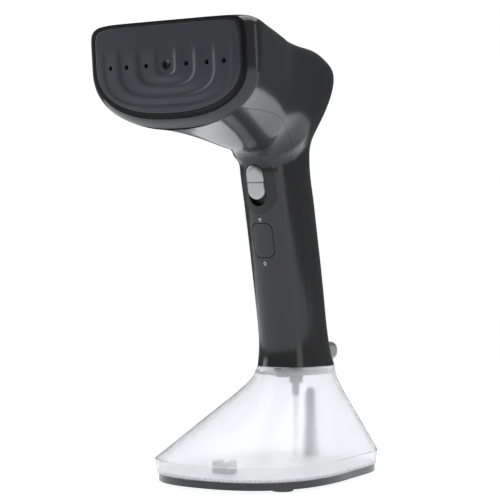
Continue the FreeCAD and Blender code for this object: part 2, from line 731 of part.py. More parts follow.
# --- release button: a half-round bar across the grip's rear, with its latch arm
button_axis_y = size("button_rear") - size("button_radius")
button_z, button_r = size("button_height"), size("button_radius")
button_half = size("button_half_width")
button_inner = button_axis_y - size("button_inset")
bar = rod(button_r, (-button_half, button_axis_y, button_z), (button_half, button_axis_y, button_z))
bar = bar.fuse(middle_block(button_half, button_inner, button_axis_y, button_z - button_r,
                            button_z + button_r))
bar = bar.removeSplitter()
end_arcs = [edge for edge in bar.Edges
            if edge.BoundBox.XLength < 0.01 and edge.BoundBox.YMax > button_axis_y + 1]
bar = bar.makeFillet(2.6, end_arcs)
latch_tip = size("seam_height") - size("latch_depth")
arm_rear = button_inner + 2.4
arm = middle_block(4.0, button_inner, arm_rear, latch_tip, button_z)
nose_y = arm_rear + 1.2
nose = middle_block(4.0, button_inner, nose_y, latch_tip, latch_tip + 1.0)
button_solid = bar.fuse([arm, nose])
window = middle_block(button_half + 0.4, button_inner - 1, button_axis_y + 9,
                      button_z - button_r - 0.4, button_z + button_r + 0.4)

bracket_rear = button_inner - size("button_travel") - 3.6
cap_top = size("seam_height") + size("cap_thickness")
bracket = skin_room.common(middle_block(BIG, bracket_rear - 1.6, bracket_rear, cap_top + 0.2, button_z + 5))
button_spring = coil(2.2, size("spring_wire"), 3.4, 3, Placement(
    Vector(0, bracket_rear, button_z), Rotation(Vector(1, 0, 0), -90)))

# --- cord bush, in a frame on the grip's rear with local Z pointing out
bush_lean = grip_angle(size("bush_height"))
bush_frame = Placement(Vector(0, grip_middle(size("bush_height")) + size("grip_half_depth"),
                              size("bush_height")),
                       Rotation(Vector(1, 0, 0), -90 + bush_lean))
bush_hole = placed(rod(size("bush_radius") + 0.1, (0, 0, -9), (0, 0, 9)), bush_frame)

# --- pump, in a frame at the middle of the grip
pump_frame = Placement(Vector(0, grip_middle(size("pump_height")), size("pump_height")),
                       Rotation(Vector(1, 0, 0), grip_angle(size("pump_height"))))
coil_half, coil_up = size("coil_half_width"), size("coil_half_height")
strap_t = size("bracket_thickness")
strap_rear = coil_half + 0.1 + strap_t
cradle_half = 2.6
cradle = [placed(middle_block(cradle_half, strap_rear, 30, z - 2, z + 2), pump_frame).common(skin_solid)
          for z in (-8, 8)]

shape_piece("front_shell", front_half
            .cut([placed(shape, front_frame) for shape in (bezel_hole, rocker_hole)])
            .cut([placed(rod(size("lens_radius") + 0.05, (0, -9, z), (0, 9, z)),
                         front_frame) for z in lens_heights])
            .cut(plug_hole)
            .fuse([placed(shape, front_frame).common(skin_solid) for shape in (*ears, *posts,
                                                                               *front_bosses)])
            .cut([placed(shape, front_frame) for shape in screw_holes]))
shape_piece("rear_shell", rear_half
            .fuse([placed(shape, front_frame).common(skin_solid) for shape in rear_bosses] + cradle)
            .cut([placed(shape, front_frame) for shape in (*screw_holes, *screw_wells)])
            .cut([window, bush_hole]))
shape_piece("top_cover", cover)
shape_piece("trigger_bezel", bezel)
shape_piece("trigger", trigger_solid, front_frame)
shape_piece("trigger_carrier", carrier, front_frame)
shape_piece("mode_rocker", rocker)
shape_piece("underside_plug", plug)
shape_piece("release_button", button_solid)
shape_piece("button_bracket", bracket)
shape_piece("button_spring", button_spring)
shape_piece("grip_screws", Part.makeCompound(grip_screws))


# ---------------------------------------------------------------- head: plate, bezel, collar, heater

def world_dee(depth, side, above, below):
    return [plate_place.multVec(point) for point in dee(depth, side, above, below)]


plate_t = size("plate_thickness")
plate = dee_plate(3 * size("wave_step"), plate_t)
for step, (half_width, below) in enumerate(((43.0, 25.5), (30.0, 19.6), (16.0, 12.7))):
    wave = dee_plate((2 - step) * size("wave_step"), plate_t, half_width - size("plate_half_width"),
                     -6.0 - 3.0 * step, below - size("plate_down"))
    plate = plate.fuse(wave)
holes = [(0.0, size("main_hole_radius"))]
holes += [(side * x, size("side_hole_radius")) for side in (-1, 1) for x in (15.1, 30.3, 42.7)]
drills = [rod(radius, (x, -1, 0), (x, plate_t + 1, 0)) for x, radius in holes]
shape_piece("soleplate", plate.cut(drills), plate_place)

bezel_end = size("bezel_depth") + size("bezel_length")
lip_end = size("bezel_depth") + size("bezel_lip")
low_edge = size("bezel_above") - size("bezel_step")
ring = dee_plate(size("bezel_depth"), lip_end, size("bezel_side"), size("bezel_above"), size("bezel_below"))
inner_side, inner_below = size("bezel_side") - size("bezel_tuck"), size("bezel_below") - size("bezel_tuck")
ring = ring.fuse(dee_plate(lip_end - 1.0, bezel_end, inner_side, low_edge, inner_below))
ring = ring.fuse(dee_plate(1.2, size("bezel_depth"), 1.2, 1.0, 1.4))
ring = ring.cut(dee_plate(-1, plate_t + 0.1, gap / 2, gap / 2, gap / 2))
inset = size("chamber_inset")
ring = ring.cut(dee_plate(0, 20, -inset + gap, -inset + gap, -inset + gap))
shape_piece("soleplate_bezel", ring, plate_place)

collar_station = head_station(1.0)
collar_outside = skinned([
    world_dee(size("bezel_depth") + 0.3, size("bezel_side") + 0.5, size("bezel_above") + 0.3,
              size("bezel_below") + 0.5),
    world_dee(size("collar_depth") - 1.6, size("collar_side") - 1.2, size("collar_above") - 0.1,
              size("collar_below") - 1.3),
    world_dee(size("collar_depth"), size("collar_side"), size("collar_above"), size("collar_below")),
    section(collar_station)])
opening = [placed(dee_plate(-5, lip_end + gap, size("bezel_side") + gap, size("bezel_above") + gap,
                            size("bezel_below") + gap), plate_place),
           placed(dee_plate(lip_end - 1.0, bezel_end + 3.0, inner_side + gap, low_edge + gap,
                            inner_below + gap),
                  plate_place)]
collar_room = skinned([
    world_dee(size("collar_depth") + 1.0, size("collar_side") - 2.4, size("collar_above") - 2.4,
              size("collar_below") - 2.4),
    section(collar_station, size("wall")),
    [point + Vector(0, 3, 0) for point in section(collar_station, size("wall"))]])
shape_piece("head_collar", collar_outside.cut(opening).cut(collar_room))

chamber_front, chamber_rear = plate_t + 0.1, plate_t + 0.1 + size("chamber_depth")
chamber = dee_plate(chamber_front, chamber_rear, -inset, -inset, -inset)
room = stadium(21.0, 9.0, chamber_front + 5, chamber_rear + 1, 1.5, 4.0)
gallery = stadium(45.0, 2.0, chamber_front - 1, chamber_front + 2.0, 0.0, 1.9)
ports = [rod(1.5, (x, chamber_front - 1, 0), (x, chamber_front + 8, 0)) for x in (-12, 0, 12)]
leg_x, bend = size("element_half_width"), size("element_bend")
leg_top, leg_depth = 12.0, chamber_front + 9.0
low = -14.0
element_path = [(-leg_x, leg_depth, leg_top), (-leg_x, leg_depth, low), (leg_x, leg_depth, low),
                (leg_x, leg_depth, leg_top)]
element = pipe(element_path, size("element_radius"), bend)
channel = pipe([(x, y, z + (4.0 if z > 0 else 0)) for x, y, z in element_path],
               size("element_radius") + 0.1, bend)
terminal_end = chamber_rear + 12.0
terminals = [rod(1.6, (side * leg_x, leg_depth, leg_top - 2.5), (side * leg_x, terminal_end, leg_top - 2.5))
             for side in (-1, 1)]
terminal_holes = [rod(2.1, (side * leg_x, leg_depth, leg_top - 2.5),
                      (side * leg_x, terminal_end, leg_top - 2.5))
                  for side in (-1, 1)]
screw_spots = [(-40.5, 9.0), (40.5, 9.0), (-37.5, -8.0), (37.5, -8.0), (0.0, -19.6)]
gasket_rear = chamber_rear + size("gasket_thickness")
cover_rear = gasket_rear + size("chamber_cover_thickness")
screw_start = cover_rear + 0.05 - size("chamber_screw_length")
chamber_taps = [rod(size("screw_radius") + 0.03, (x, screw_start - 0.5, z), (x, cover_rear + 1, z))
                for x, z in screw_spots]
element_solid = element.fuse(terminals)
shape_piece("heating_element", element_solid, plate_place)
shape_piece("steam_chamber", chamber.cut([room, gallery, channel, *ports, *terminal_holes, *chamber_taps]),
            plate_place)
gasket = dee_plate(chamber_rear, gasket_rear, -inset - 1, -inset - 1, -inset - 1)
shape_piece("chamber_gasket",
            gasket.cut([room.translated(Vector(0, 2, 0)), *terminal_holes, *chamber_taps]),
            plate_place)
inlet_z = -3.0
lid = dee_plate(gasket_rear, cover_rear, -inset, -inset, -inset)
inlet_hole = rod(1.6, (0, gasket_rear - 1, inlet_z), (0, cover_rear + 1, inlet_z))
shape_piece("chamber_cover", lid.cut([inlet_hole, *terminal_holes, *chamber_taps]), plate_place)
chamber_screws = []
for x, z in screw_spots:
    shank = rod(size("screw_radius"), (x, screw_start, z), (x, cover_rear + 0.5, z))
    head = rod(size("screw_head_radius"), (x, cover_rear + 0.05, z),
               (x, cover_rear + size("screw_head_height"), z))
    chamber_screws.append(placed(shank.fuse(head), plate_place))
shape_piece("chamber_screws", Part.makeCompound(chamber_screws))


def plate_spot(x, depth, z, turn_x=-90.0):
    """A frame on the plate's local point whose Z points into the head."""
    return plate_place.multiply(Placement(Vector(x, depth, z), Rotation(Vector(1, 0, 0), turn_x)))


turned("thermostat", [("0", "0"), ("thermostat_radius", "0"), ("thermostat_radius", "2.5"),
                      ("thermostat_radius - 1.2", "2.5"), ("thermostat_radius - 1.2", "thermostat_height"),
                      ("0", "thermostat_height")], plate_spot(0, cover_rear + 0.05, 10.0))
cylinder("fuse_body", "fuse_radius", "fuse_length",
         plate_place.multiply(Placement(Vector(-size("fuse_length") / 2,
                                               cover_rear + size("fuse_radius") + 0.1, -11.8),
                                        Rotation(Vector(0, 1, 0), 90))))
keep("thermal_fuse", doc.getObject("fuse_body"))
turned("water_inlet", [("0.9", "0 - gasket_thickness"), ("1.5", "0 - gasket_thickness"), ("1.5", "0.1"),
                       ("4.0", "0.1"), ("4.0", "2.0"), ("spigot_radius", "2.0"), ("spigot_radius", "9.0"),
                       ("0.9", "9.0")], plate_spot(0, cover_rear, inlet_z))

frame_front, frame_rear = bezel_end + 0.1, bezel_end + 2.6
carrier_ring = dee_plate(frame_front, frame_rear, 5.0, 0.0, 5.0)
carrier_ring = carrier_ring.cut(dee_plate(0, 40, -inset + 0.15, -inset + 0.15, -inset + 0.15))
shape_piece("chamber_frame", placed(carrier_ring, plate_place).common(collar_room))

# ---------------------------------------------------------------- switches and electronics

board = middle_block(size("board_half_width"), board_front, board_back, board_bottom, board_top)
board = board.cut([rod(boss_radius + 0.3, (side * size("screw_x"), 0, screw_z),
                       (side * size("screw_x"), 30, screw_z))
                   for side in (-1, 1)])
shape_piece("control_board", board, front_frame)
light_pipes = [placed(rod(size("lens_radius"), (0, -9, z), (0, board_front - 0.4, z)),
                      front_frame).common(skin_solid)
               for z in lens_heights]
shape_piece("icon_lenses", Part.makeCompound(light_pipes))
switch = middle_block(3.2, carrier_back + size("trigger_travel") + 0.4, board_front, trigger_z - 5.0,
                      trigger_z + 1.5)
shape_piece("microswitch", switch, front_frame)
button_switches = []
for side in (-1, 1):
    z = rocker_z + side * pad_reach
    base = middle_block(3.0, board_front - 3.4, board_front, z - 2.2, z + 2.2)
    button_switches.append(placed(base.fuse(rod(1.4, (0, 9.7, z), (0, board_front - 3, z))), front_frame))
shape_piece("rocker_switches", Part.makeCompound(button_switches))
springs = [coil(2.0, size("spring_wire"), board_front - carrier_back - size("trigger_travel") - 0.4, 4,
                front_frame.multiply(Placement(Vector(0, board_front, trigger_z + z),
                                               Rotation(Vector(1, 0, 0), 90))))
           for z in (-11.5, 11.5)]
shape_piece("trigger_springs", Part.makeCompound(springs))

# ---------------------------------------------------------------- pump and hoses

coil_block = middle_block(coil_half, -coil_half, coil_half, -coil_up, coil_up)
coil_block = coil_block.makeFillet(2.0,
                                   [edge for edge in coil_block.Edges if edge.BoundBox.ZLength > coil_up])
pump_bore = rod(size("pump_tube_radius") + 0.05, (0, 0, -40), (0, 0, 40))
shape_piece("pump_coil", coil_block.cut(pump_bore), pump_frame)
strap = middle_block(coil_half, -coil_half, strap_rear, -coil_up - strap_t, coil_up + strap_t)
strap = strap.cut(middle_block(BIG, -BIG, coil_half + 0.1, -coil_up - 0.02, coil_up + 0.02)).cut(pump_bore)
shape_piece("pump_bracket", strap, pump_frame)
turned("pump_tube",
       [("pump_tube_bore", "0 - pump_tube_half_length"), ("pump_tube_radius", "0 - pump_tube_half_length"),
                     ("pump_tube_radius", "pump_tube_half_length - 4.0"),
                     ("spigot_radius", "pump_tube_half_length - 4.0"),
                     ("spigot_radius", "pump_tube_half_length + 4.0"),
        ("1.0", "pump_tube_half_length + 4.0"),
                     ("1.0", "pump_tube_half_length - 7.0"),
        ("pump_tube_bore", "pump_tube_half_length - 7.0")],
       pump_frame)
turned("pump_inlet",
       [("1.0", "0 - pump_tube_half_length - 6.0"), ("spigot_radius", "0 - pump_tube_half_length - 6.0"),
                      ("spigot_radius", "0 - pump_tube_half_length - 1.5"),
                      ("pump_tube_radius", "0 - pump_tube_half_length - 1.5"),
                      ("pump_tube_radius", "0 - pump_tube_half_length"),
                      ("pump_tube_bore - 0.02", "0 - pump_tube_half_length"),
                      ("pump_tube_bore - 0.02", "5.0 - pump_tube_half_length"),
        ("1.0", "5.0 - pump_tube_half_length")],
       pump_frame)
plunger_bottom = -size("pump_tube_half_length") + 5.3
plunger_frame = pump_frame.multiply(Placement(Vector(0, 0, plunger_bottom), Rotation()))
tube("pump_plunger", "plunger_radius", "1.2", "plunger_length", plunger_frame)
spring_bottom = plunger_bottom + size("plunger_length") + size("plunger_travel") + 0.3
spring_top = size("pump_tube_half_length") - 7.0
shape_piece("pump_spring", coil(2.6, size("spring_wire"), spring_top - spring_bottom, 5,
                                pump_frame.multiply(Placement(Vector(0, 0, spring_bottom), Rotation()))))
outlet_tip = size("pump_tube_half_length") + 3.8
hose_start = pump_frame.multVec(Vector(0, 0, size("pump_tube_half_length") - 3.5))
hose_up = pump_frame.multVec(Vector(0, 0, size("pump_tube_half_length") + 68.0))
inlet_tip = plate_place.multVec(Vector(0, cover_rear + 2.3, inlet_z))
inlet_back = plate_place.multVec(Vector(0, cover_rear + 36.0, inlet_z))
hose_path = [tuple(point) for point in (hose_start, hose_up, inlet_back, inlet_tip)]
upper_hose = pipe(hose_path, size("hose_radius"), 16.0)
upper_spigots = [placed(rod(size("spigot_radius") + 0.02, (0, 0, 10), (0, 0, outlet_tip + 0.4)),
                        pump_frame),
                 placed(rod(size("spigot_radius") + 0.02, (0, cover_rear, inlet_z),
                            (0, cover_rear + 9.2, inlet_z)),
                        plate_place)]
shape_piece("upper_hose", upper_hose.cut(upper_spigots))

connector_bottom = size("seam_height") - size("nipple_depth")
connector_top = Vector(0, size("seam_middle"), cap_top + 4.6)
pump_inlet_tip = pump_frame.multVec(Vector(0, 0, -size("pump_tube_half_length") - 6.0))
hose_axis = (pump_inlet_tip - connector_top).normalize()
flange_top = cap_top + 1.8
nipple = rod(size("nipple_radius"), (0, size("seam_middle"), connector_bottom),
             (0, size("seam_middle"), cap_top + 1))
flange = rod(size("flange_radius"), (0, size("seam_middle"), cap_top + 0.05),
             (0, size("seam_middle"), flange_top))
elbow = Part.makeSphere(3.6, Vector(0, size("seam_middle"), flange_top + 1.6))
spigot_root = Vector(0, size("seam_middle"), flange_top + 1.6)
spigot_tip = spigot_root + hose_axis * 9.0
spigot = rod(size("spigot_radius"), tuple(spigot_root), tuple(spigot_tip))
passage = rod(1.0, (0, size("seam_middle"), connector_bottom - 1), tuple(spigot_root)).fuse(
    rod(1.0, tuple(spigot_root), tuple(spigot_tip + hose_axis)))
ring_z = connector_bottom + 1.6
seal = Part.makeTorus(size("nipple_radius") + 0.1, 0.4, Vector(0, size("seam_middle"), ring_z))
shape_piece("nipple_seal", seal)
shape_piece("tank_connector", nipple.fuse([flange, elbow, spigot]).cut(passage).cut(
    Part.makeTorus(size("nipple_radius") + 0.1, 0.42, Vector(0, size("seam_middle"), ring_z))))
lower_start = spigot_root + hose_axis * 4.2
lower_end = pump_inlet_tip + hose_axis * 4.0
lower = rod(size("hose_radius"), tuple(lower_start), tuple(lower_end))
lower = lower.cut([rod(size("spigot_radius") + 0.02, tuple(spigot_root),
                       tuple(spigot_tip + hose_axis * 0.3)),
                   placed(rod(size("spigot_radius") + 0.02, (0, 0, -size("pump_tube_half_length") - 6.4),
                              (0, 0, -size("pump_tube_half_length"))), pump_frame),
                   rod(1.2, tuple(spigot_root), tuple(lower_end))])
shape_piece("lower_hose", lower)

cap_plate = skin_room.common(middle_block(BIG, -BIG, BIG, size("seam_height"), cap_top))
arm_slot = middle_block(4.5, button_inner - size("button_travel") - 0.4, nose_y + 0.4, 0, BIG)
nipple_hole = rod(size("nipple_radius") + 0.1, (0, size("seam_middle"), 0), (0, size("seam_middle"), BIG))
shape_piece("bottom_cap", cap_plate.cut([arm_slot, nipple_hole]))

turned("cord_bush",
       [("bush_bore", "0 - 6.0"), ("bush_radius + 1.6", "0 - 6.0"), ("bush_radius + 1.6", "0 - 4.4"),
                     ("bush_radius", "0 - 4.4"), ("bush_radius", "0.5"), ("bush_radius + 1.6", "0.5"),
                     ("bush_radius + 1.2", "2.2"), ("bush_radius - 1.2", "bush_proud"),
        ("bush_bore", "bush_proud")],
       bush_frame)

lead_radius = 1.2
lead_x = 4.5            # between the rear bosses and beside the cradle
lead_depth = 16.8       # behind the grip's middle
leads = []
for side in (-1, 1):
    inside = bush_frame.multVec(Vector(side * 1.6, 0, -7.6))
    turn = bush_frame.multVec(Vector(side * 3.0, 0, -10.0))
    rise = [Vector(side * lead_x, grip_middle(z) + lead_depth, z)
            for z in (size("bush_height") + 14.0, size("bush_height") + 50.0)]
    neck_z = size("neck_height") - 4.0
    neck = Vector(side * 11.0, grip_middle(neck_z) + 15.0, neck_z)
    over = Vector(side * 19.0, size("neck_y") + 30.0, size("neck_height") + 48.0)
    tip = plate_place.multVec(Vector(side * leg_x, terminal_end + 0.1, leg_top - 2.5))
    behind = plate_place.multVec(Vector(side * leg_x, terminal_end + 16.0, leg_top - 2.5))
    leads.append(pipe([tuple(p) for p in (inside, turn, *rise, neck, over, behind, tip)], lead_radius,
                      30.0))
shape_piece("heater_leads", Part.makeCompound(leads))

# ---------------------------------------------------------------- tank and base

tank_top = size("seam_height") - size("seam_gap")
ring_top = size("foot_height") + size("ring_height")


def base_outline(height, grow=0.0):
    """The base ring's plan: a rounded front that widens to the middle, squarer corners behind."""
    plain = even_oval(size("base_half_width") + grow, size("base_front") + grow, size("base_rear") + grow,
                      2.35, 6.0)
    points = []
    for x, along in plain:
        if along > 0:
            change = -size("base_taper") * along / size("base_rear")
        else:
            change = -size("base_flare") * along / size("base_front")
        taper = 1.0 + change / size("base_half_width")
        points.append(Vector(x * taper, size("base_middle") + along, height))
    return points


def neck_outline(height, grow=0.0):
    oval = even_oval(size("foot_half_width") + grow, size("foot_half_depth") + grow,
                     size("foot_half_depth") + grow, GRIP_ROUNDNESS, GRIP_ROUNDNESS)
    return [Vector(x, size("seam_middle") + y, height) for x, y in oval]


# how far the tank has spread from the neck's plan (0) to the crease's plan (1), by depth below the rim
SPREAD_DEPTHS = (0.0, 0.12, 0.25, 0.6, 1.0)
SPREAD_SHARES = (0.0, 0.05, 0.163, 0.553, 1.0)


def tank_body(inset=0.0, extra=0.0):
    """The tank's outside, or its room when inset by the wall."""
    crease = size("crease_height")
    rows = []
    for depth in (0.0, 0.06, 0.12, 0.18, 0.25, 0.35, 0.5, 0.7, 0.85, 1.0):
        height = tank_top + (crease - tank_top) * depth
        share = between(SPREAD_DEPTHS, SPREAD_SHARES, depth)
        neck_row = neck_outline(height, -inset)
        base_row = base_outline(height, size("crease_grow") - inset)
        rows.append([a * (1 - share) + b * share for a, b in zip(neck_row, base_row)])
    if extra:
        rows.insert(0, [point + Vector(0, 0, extra) for point in rows[0]])
    skirt = [base_outline(crease, size("crease_grow") - inset),
             base_outline((crease + ring_top) / 2, 0.7 * size("crease_grow") - inset),
             base_outline(ring_top - extra, 0.4 * size("crease_grow") - inset)]
    return skinned(rows).fuse(skinned(skirt))


tank_room = tank_body(size("tank_wall"), 1.0)
shape_piece("tank_shell", tank_body().cut(tank_room))


def slab(z0, z1):
    return middle_block(BIG, -BIG, BIG, z0, z1)


middle = size("seam_middle")
deck_top = tank_top - size("deck_below_seam")
deck_bottom = deck_top - size("deck_thickness")
stopper_y = middle - 15.7
catch_front = nose_y + size("catch_gap")
catch = middle_block(4.5, catch_front, catch_front + 2.0, deck_bottom, latch_tip + 1.2)
valve_hole = rod(size("valve_radius") + 0.05, (0, middle, deck_bottom - 1), (0, middle, deck_top + 1))
filler_hole = rod(size("stopper_hole"), (0, stopper_y, deck_bottom - 1), (0, stopper_y, deck_top + 1))
shape_piece("tank_deck",
            tank_room.common(slab(deck_bottom, deck_top)).fuse(catch).cut([valve_hole, filler_hole]))

floor_top = ring_top + size("floor_thickness")
shape_piece("tank_floor", tank_room.common(slab(ring_top, floor_top)))

foot_z, recess = size("foot_height"), size("foot_recess")
feet_spots = [(side * x, y) for side in (-1, 1) for x, y in ((41.0, -25.0), (36.0, 76.0))]
ring_solid = skinned([base_outline(height) for height in (foot_z, foot_z + size("ring_height") / 2,
                                                          ring_top)])
hollow = skinned([base_outline(height, -5.0) for height in
                  (foot_z - 1, foot_z + 1, ring_top - size("ring_floor"))])
bosses = [rod(size("foot_radius") + 2.0, (x, y, foot_z), (x, y, ring_top - 1)) for x, y in feet_spots]
recesses = [rod(size("foot_radius") + 0.05, (x, y, 0), (x, y, foot_z + recess)) for x, y in feet_spots]
shape_piece("base_ring",
            ring_solid.cut(hollow).fuse([boss.common(ring_solid) for boss in bosses]).cut(recesses))
feet = []
for x, y in feet_spots:
    foot = rod(size("foot_radius"), (x, y, 0), (x, y, foot_z + recess))
    feet.append(foot.makeFillet(0.8, [edge for edge in foot.Edges if edge.BoundBox.ZMax < 0.01]))
shape_piece("rubber_feet", Part.makeCompound(feet))


def upright(x, y, z):
    return Placement(Vector(x, y, z), Rotation())


valve_floor = deck_bottom - size("valve_depth")
turned("outlet_valve", [("poppet_radius - 1.2", "0 - 7.5"), ("tube_radius + 0.03", "0 - 7.5"),
                        ("tube_radius + 0.03", "0 - 10.5"), ("valve_stem_radius + 0.3", "0 - 10.5"),
                        ("valve_stem_radius + 0.3", "0 - 1.6"), ("valve_radius", "0 - 1.6"),
                        ("valve_radius", "valve_depth + deck_thickness + 2.4"),
                        ("valve_bore", "valve_depth + deck_thickness + 2.4"),
                        ("valve_bore", "0"), ("poppet_radius - 1.2", "0")], upright(0, middle, valve_floor))
poppet_top = connector_bottom - 0.4
turned("valve_poppet",
       [("0", "0"), ("poppet_radius", "0"), ("poppet_radius", "0 - 1.0"), ("0.8", "0 - 1.0"),
                        ("0.8", "0 - 7.0"), ("0", "0 - 7.0")], upright(0, middle, poppet_top))
shape_piece("valve_spring", coil(2.0, 0.25, poppet_top - 1.0 - size("poppet_travel") - 0.3 - valve_floor, 2,
                                 upright(0, middle, valve_floor)))
tube("suction_tube", "tube_radius", "tube_bore",
     "seam_height - seam_gap - deck_below_seam - deck_thickness - valve_depth - 7.6"
     " - foot_height - ring_height - floor_thickness - tube_gap",
     upright(0, middle, floor_top + size("tube_gap")))
turned("filler_stopper",
       [("0", "0 - deck_thickness - 2.0"), ("stopper_hole - 0.1", "0 - deck_thickness - 2.0"),
                          ("stopper_hole - 0.1", "0"), ("stopper_radius", "0"), ("stopper_radius", "1.4"),
                          ("0", "1.4")], upright(0, stopper_y, deck_top))
stopper_tab = box("tab_block", "4.0", "3.6", "1.3",
                  Placement(Vector(-2.0, stopper_y - size("stopper_radius") - 2.0, deck_top + 1.4),
                            Rotation()))
keep("stopper_tab", stopper_tab)
turned("vent_pillar", [("0", "0"), ("pillar_radius + 1.4", "0"), ("pillar_radius", "22.0"),
                       ("pillar_radius", "pillar_top - 12.0"), ("pillar_radius - 1.6", "pillar_top - 9.0"),
                       ("0", "pillar_top - 9.0")], upright(0, middle + 18.0, floor_top))
padded("snap_block", [("0 - 6.3", "0"), ("6.3", "0"), ("6.3", "7.4"), ("3.8", "7.4"), ("3.8", "6.0"),
                      ("0 - 3.8", "6.0"), ("0 - 3.8", "7.4"), ("0 - 6.3", "7.4")], "9.0",
       upright(0, size("base_middle") - 59.0, floor_top), "XZ_Plane")

# ---------------------------------------------------------------- checks and export

doc.recompute()
os.makedirs("parts", exist_ok=True)
for item in doc.Objects:
    if "Invalid" in item.State or "Error" in item.State:
        raise RuntimeError("%s did not compute: %s" % (item.Label, item.State))
for label, piece in pieces.items():
    if piece.Shape.isNull() or not piece.Shape.isValid() or not piece.Shape.Solids:
        raise RuntimeError("%s has no valid solid" % label)
    piece.Shape.exportStep(os.path.join("parts", label + ".step"))
    print("%-18s %8.0f mm3, %d solid(s)" % (label, piece.Shape.Volume, len(piece.Shape.Solids)))
print(len(pieces), "sub-parts")
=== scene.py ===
# %% [markdown]
# # A garment steamer, from frame to finish
# The steamer's hard parts are already modelled to size. This lesson loads them as a fixed
# frame, gives every part the finish of the real thing, and models again the two that need a
# finer shape: the steam plate with its soft waves, and the domed trigger. It adds two small
# signs and lights the machine as in a small studio.

# %% Load the frame
import bpy
import math
from mathutils import Matrix, Vector


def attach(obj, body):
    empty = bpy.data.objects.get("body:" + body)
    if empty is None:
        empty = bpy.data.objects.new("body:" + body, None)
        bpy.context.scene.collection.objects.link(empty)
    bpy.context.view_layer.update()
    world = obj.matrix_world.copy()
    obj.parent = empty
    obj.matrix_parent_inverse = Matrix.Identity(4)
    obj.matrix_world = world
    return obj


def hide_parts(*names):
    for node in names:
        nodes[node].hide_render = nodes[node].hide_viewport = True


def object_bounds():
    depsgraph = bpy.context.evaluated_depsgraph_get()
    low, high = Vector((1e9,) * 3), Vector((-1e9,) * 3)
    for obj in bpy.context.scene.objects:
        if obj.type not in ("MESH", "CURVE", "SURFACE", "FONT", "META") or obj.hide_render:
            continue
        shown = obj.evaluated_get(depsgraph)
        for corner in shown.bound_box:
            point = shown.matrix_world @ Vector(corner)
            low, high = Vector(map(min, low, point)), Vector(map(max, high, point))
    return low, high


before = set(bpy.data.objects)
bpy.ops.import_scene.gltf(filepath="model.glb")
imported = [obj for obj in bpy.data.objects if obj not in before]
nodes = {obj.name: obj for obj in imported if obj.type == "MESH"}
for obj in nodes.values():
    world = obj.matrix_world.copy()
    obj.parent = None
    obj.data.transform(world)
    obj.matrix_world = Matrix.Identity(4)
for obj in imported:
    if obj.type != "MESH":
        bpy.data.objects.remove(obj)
cad_box = [list(corner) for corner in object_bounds()]
lowest, highest = ([round(value, 4) for value in corner] for corner in cad_box)
print(len(nodes), "nodes; box from", lowest, "to", highest)

# %% [markdown]
# The camera stands level with the middle of the machine, about 1.1 m away and 34.5 degrees
# round from its front, with a long lens. A long lens keeps the upright parts parallel, which
# is how catalogue pictures of tall things are usually taken.

# %% The camera
camera_data = bpy.data.cameras.new("studio_camera")
camera = bpy.data.objects.new("studio_camera", camera_data)
bpy.context.scene.collection.objects.link(camera)
TURN, TIP = math.radians(34.5), math.radians(-0.22)
CAMERA_PLACE = (0.6466, -0.9416, 0.1538)
SENSOR_WIDTH, LENS, NEAREST = 36.0, 127.4, 0.05
looking = Vector((-math.sin(TURN) * math.cos(TIP), math.cos(TURN) * math.cos(TIP), math.sin(TIP)))
camera.location = CAMERA_PLACE
camera.rotation_euler = looking.to_track_quat("-Z", "Y").to_euler()
camera_data.sensor_width = SENSOR_WIDTH
camera_data.lens = LENS
camera_data.clip_start = NEAREST
bpy.context.scene.camera = camera
print("camera at", tuple(round(v, 3) for v in camera.location))

# %% [markdown]
# A flat sheet of pale paper for the floor, just under the feet. It gives off light of its own,
# so that it comes out as white as the room behind it and no edge shows where it ends. What
# light it catches from the lamps is little, so the machine's shadow on it stays faint.

# %% The floor
FLOOR_SIZE, FLOOR_DROP, FLOOR_GLOW = 1.9, 0.0004, 0.93
bpy.ops.object.select_all(action="DESELECT")
bpy.ops.mesh.primitive_grid_add(x_subdivisions=4, y_subdivisions=60, size=FLOOR_SIZE, location=(0, 0, 0))
floor = bpy.context.object
floor.name = "floor"
for vertex in floor.data.vertices:
    vertex.co.z = -FLOOR_DROP
bpy.ops.object.shade_smooth()
floor_paint = bpy.data.materials.new("floor_paper")
floor_paint.use_nodes = True
sheet = floor_paint.node_tree
paper = sheet.nodes["Principled BSDF"]
paper.inputs["Roughness"].default_value = 0.7
paper.inputs["Specular IOR Level"].default_value = 0.2
paper.inputs["Emission Color"].default_value = (0.985, 0.99, 1.0, 1)
paper.inputs["Emission Strength"].default_value = FLOOR_GLOW
paper_noise = sheet.nodes.new("ShaderNodeTexNoise")
paper_noise.inputs["Scale"].default_value = 3.0
paper_ramp = sheet.nodes.new("ShaderNodeValToRGB")
paper_ramp.color_ramp.elements[0].color = (0.25, 0.26, 0.28, 1)
paper_ramp.color_ramp.elements[1].color = (0.28, 0.29, 0.31, 1)
sheet.links.new(paper_noise.outputs["Fac"], paper_ramp.inputs["Fac"])
sheet.links.new(paper_ramp.outputs["Color"], paper.inputs["Base Color"])
floor.data.materials.append(floor_paint)
print("floor", FLOOR_SIZE, "m wide")

# %% [markdown]
# Glossy dark plastic shows the lamps more than its own colour, so the lamps do the drawing.
# A tall, dim soft box on the right, a little towards the front, makes the paler band down the
# grip. One on the left fills the plate and the underside of the head. A wide one above gives
# most of the light.

# %% Lamps
def softbox(name, place, aim, width, height, power):
    """A flat rectangular lamp that faces a point."""
    lamp_data = bpy.data.lights.new(name, "AREA")
    lamp_data.shape = "RECTANGLE"
    lamp_data.size, lamp_data.size_y = width, height
    lamp_data.energy = power
    lamp = bpy.data.objects.new(name, lamp_data)
    lamp.location = place
    lamp.rotation_euler = (Vector(aim) - Vector(place)).to_track_quat("-Z", "Y").to_euler()
    bpy.context.scene.collection.objects.link(lamp)


